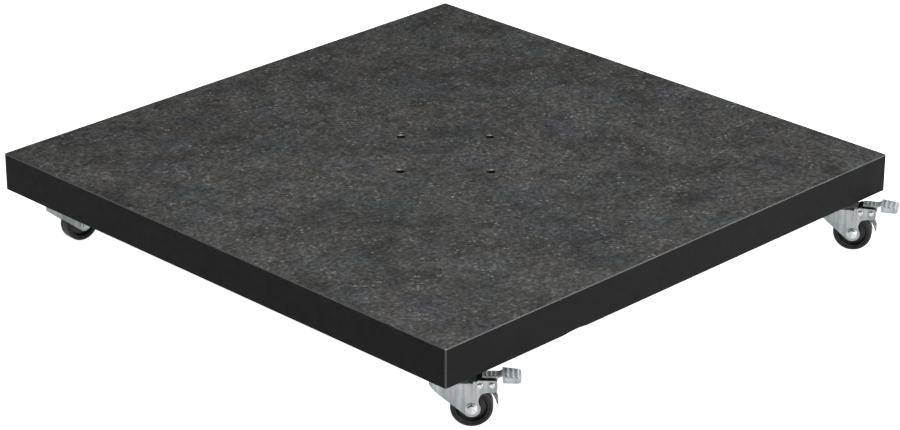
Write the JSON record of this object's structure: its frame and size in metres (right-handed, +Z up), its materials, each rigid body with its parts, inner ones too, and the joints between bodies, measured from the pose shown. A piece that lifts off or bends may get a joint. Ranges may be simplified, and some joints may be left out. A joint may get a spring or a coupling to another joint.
{
  "type": "wheeled stone parasol base",
  "caption": "Square dark granite slab on braked swivel casters, with threaded steel sleeves in its top for bolting on a garden parasol's mast foot.",
  "frame": {"origin": "middle of the slab's flat top face, in the centre of the four mast sleeves", "axes": "+Z up and square to the top face; +X and +Y along the slab's sides and through the mast sleeves"},
  "size_m": [0.8276, 0.8332, 0.128],
  "materials": {
    "granite": "flamed and brushed dark granite top, honed sides",
    "sleeve_steel": "turned steel, slightly dulled",
    "zinc_plate": "bright zinc plating on pressed sheet steel",
    "bare_steel": "plain steel rivets and bearing parts",
    "tyre_rubber": "matt black tread",
    "wheel_plastic": "moulded black wheel centre"
  },
  "bodies": {
    "base": {"granite_slab": "granite", "mast_sleeve_right": "sleeve_steel", "mast_sleeve_rear": "sleeve_steel", "mast_sleeve_left": "sleeve_steel", "mast_sleeve_front": "sleeve_steel", "top_plate_front": "zinc_plate", "kingpin_front": "bare_steel", "top_plate_right": "zinc_plate", "kingpin_right": "bare_steel", "top_plate_rear": "zinc_plate", "kingpin_rear": "bare_steel", "top_plate_left": "zinc_plate", "kingpin_left": "bare_steel"},
    "fork_front": {"fork_front": "zinc_plate", "ball_race_front": "bare_steel", "axle_bolt_front": "zinc_plate", "axle_nut_front": "zinc_plate", "axle_sleeve_front": "bare_steel", "pedal_rivet_front": "bare_steel", "shoe_rivet_front": "bare_steel"},
    "wheel_front": {"wheel_core_front": "wheel_plastic", "tyre_front": "tyre_rubber"},
    "pedal_front": {"brake_pedal_front": "zinc_plate"},
    "shoe_front": {"brake_shoe_front": "zinc_plate"},
    "fork_right": {"fork_right": "zinc_plate", "ball_race_right": "bare_steel", "axle_bolt_right": "zinc_plate", "axle_nut_right": "zinc_plate", "axle_sleeve_right": "bare_steel", "pedal_rivet_right": "bare_steel", "shoe_rivet_right": "bare_steel"},
    "wheel_right": {"wheel_core_right": "wheel_plastic", "tyre_right": "tyre_rubber"},
    "pedal_right": {"brake_pedal_right": "zinc_plate"},
    "shoe_right": {"brake_shoe_right": "zinc_plate"},
    "fork_rear": {"fork_rear": "zinc_plate", "ball_race_rear": "bare_steel", "axle_bolt_rear": "zinc_plate", "axle_nut_rear": "zinc_plate", "axle_sleeve_rear": "bare_steel", "pedal_rivet_rear": "bare_steel", "shoe_rivet_rear": "bare_steel"},
    "wheel_rear": {"wheel_core_rear": "wheel_plastic", "tyre_rear": "tyre_rubber"},
    "pedal_rear": {"brake_pedal_rear": "zinc_plate"},
    "shoe_rear": {"brake_shoe_rear": "zinc_plate"},
    "fork_left": {"fork_left": "zinc_plate", "ball_race_left": "bare_steel", "axle_bolt_left": "zinc_plate", "axle_nut_left": "zinc_plate", "axle_sleeve_left": "bare_steel", "pedal_rivet_left": "bare_steel", "shoe_rivet_left": "bare_steel"},
    "wheel_left": {"wheel_core_left": "wheel_plastic", "tyre_left": "tyre_rubber"},
    "pedal_left": {"brake_pedal_left": "zinc_plate"},
    "shoe_left": {"brake_shoe_left": "zinc_plate"}
  },
  "joints": [
    {"name": "swivel_front", "type": "hinge", "parent": "base", "child": "fork_front", "pos_m": [-0.352, -0.352, -0.0584], "axis": [0, 0, 1], "continuous": true},
    {"name": "wheel_roll_front", "type": "hinge", "parent": "fork_front", "child": "wheel_front", "pos_m": [-0.33116, -0.37358, -0.103], "axis": [0.7193, 0.6947, 0], "continuous": true},
    {"name": "brake_press_front", "type": "hinge", "parent": "fork_front", "child": "pedal_front", "pos_m": [-0.31517, -0.39013, -0.07301], "axis": [0.7193, 0.6947, 0], "range_deg": [0, 26]},
    {"name": "shoe_swing_front", "type": "hinge", "parent": "fork_front", "child": "shoe_front", "pos_m": [-0.32462, -0.38035, -0.07367], "axis": [0.7193, 0.6947, 0], "range_deg": [0, 8.33]},
    {"name": "swivel_right", "type": "hinge", "parent": "base", "child": "fork_right", "pos_m": [0.352, -0.352, -0.0584], "axis": [0, 0, 1], "continuous": true},
    {"name": "wheel_roll_right", "type": "hinge", "parent": "fork_right", "child": "wheel_right", "pos_m": [0.3679, -0.37744, -0.103], "axis": [0.848, 0.5299, 0], "continuous": true},
    {"name": "brake_press_right", "type": "hinge", "parent": "fork_right", "child": "pedal_right", "pos_m": [0.38009, -0.39696, -0.07301], "axis": [0.848, 0.5299, 0], "range_deg": [0, 26]},
    {"name": "shoe_swing_right", "type": "hinge", "parent": "fork_right", "child": "shoe_right", "pos_m": [0.37289, -0.38543, -0.07367], "axis": [0.848, 0.5299, 0], "range_deg": [0, 8.33]},
    {"name": "swivel_rear", "type": "hinge", "parent": "base", "child": "fork_rear", "pos_m": [0.352, 0.352, -0.0584], "axis": [0, 0, 1], "continuous": true},
    {"name": "wheel_roll_rear", "type": "hinge", "parent": "fork_rear", "child": "wheel_rear", "pos_m": [0.37498, 0.33272, -0.103], "axis": [0.6428, 0.766, 0], "continuous": true},
    {"name": "brake_press_rear", "type": "hinge", "parent": "fork_rear", "child": "pedal_rear", "pos_m": [0.39261, 0.31793, -0.07301], "axis": [0.6428, 0.766, 0], "range_deg": [0, 26]},
    {"name": "shoe_swing_rear", "type": "hinge", "parent": "fork_rear", "child": "shoe_rear", "pos_m": [0.38219, 0.32666, -0.07367], "axis": [0.6428, 0.766, 0], "range_deg": [0, 8.33]},
    {"name": "swivel_left", "type": "hinge", "parent": "base", "child": "fork_left", "pos_m": [-0.352, 0.352, -0.0584], "axis": [0, 0, 1], "continuous": true},
    {"name": "wheel_roll_left", "type": "hinge", "parent": "fork_left", "child": "wheel_left", "pos_m": [-0.32204, 0.35043, -0.103], "axis": [0.0523, 0.9986, 0], "continuous": true},
    {"name": "brake_press_left", "type": "hinge", "parent": "fork_left", "child": "pedal_left", "pos_m": [-0.29906, 0.34923, -0.07301], "axis": [0.0523, 0.9986, 0], "range_deg": [0, 26]},
    {"name": "shoe_swing_left", "type": "hinge", "parent": "fork_left", "child": "shoe_left", "pos_m": [-0.31264, 0.34994, -0.07367], "axis": [0.0523, 0.9986, 0], "range_deg": [0, 8.33]}
  ],
  "couplings": [
    {"joint": "shoe_swing_front", "follows": "brake_press_front", "ratio": 0.32},
    {"joint": "shoe_swing_right", "follows": "brake_press_right", "ratio": 0.32},
    {"joint": "shoe_swing_rear", "follows": "brake_press_rear", "ratio": 0.32},
    {"joint": "shoe_swing_left", "follows": "brake_press_left", "ratio": 0.32}
  ]
}
